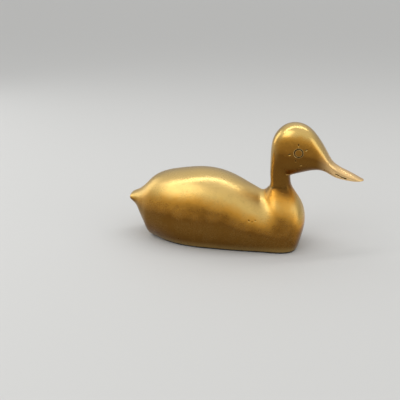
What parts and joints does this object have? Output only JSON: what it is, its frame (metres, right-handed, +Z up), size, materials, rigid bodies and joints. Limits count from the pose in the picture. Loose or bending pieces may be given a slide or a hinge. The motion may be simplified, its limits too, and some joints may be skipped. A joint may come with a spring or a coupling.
{
  "type": "duck figurine",
  "caption": "Cast brass duck ornament in the shape of a decoy: hollow body, separate head and neck drawn down by a stud, set-in eyes and a felt pad under the base.",
  "frame": {"origin": "on the surface that the duck stands on, under the middle of its whole length", "axes": "+X from the tail to the bill, +Y to the duck's left, +Z up"},
  "size_m": [0.1738, 0.0572, 0.0933],
  "materials": {
    "body_brass": "hand-polished and aged, with dark tarnish specks and fine pits",
    "head_brass": "hand-polished and aged, smoother than the body",
    "fastener_steel": "zinc-plated",
    "felt": "pressed felt"
  },
  "bodies": {
    "root": {"body_casting": "body_brass", "head_casting": "head_brass", "eye_left": "head_brass", "eye_right": "head_brass", "neck_stud": "fastener_steel", "neck_washer": "fastener_steel", "neck_nut": "fastener_steel", "base_pad": "felt"}
  },
  "joints": []
}
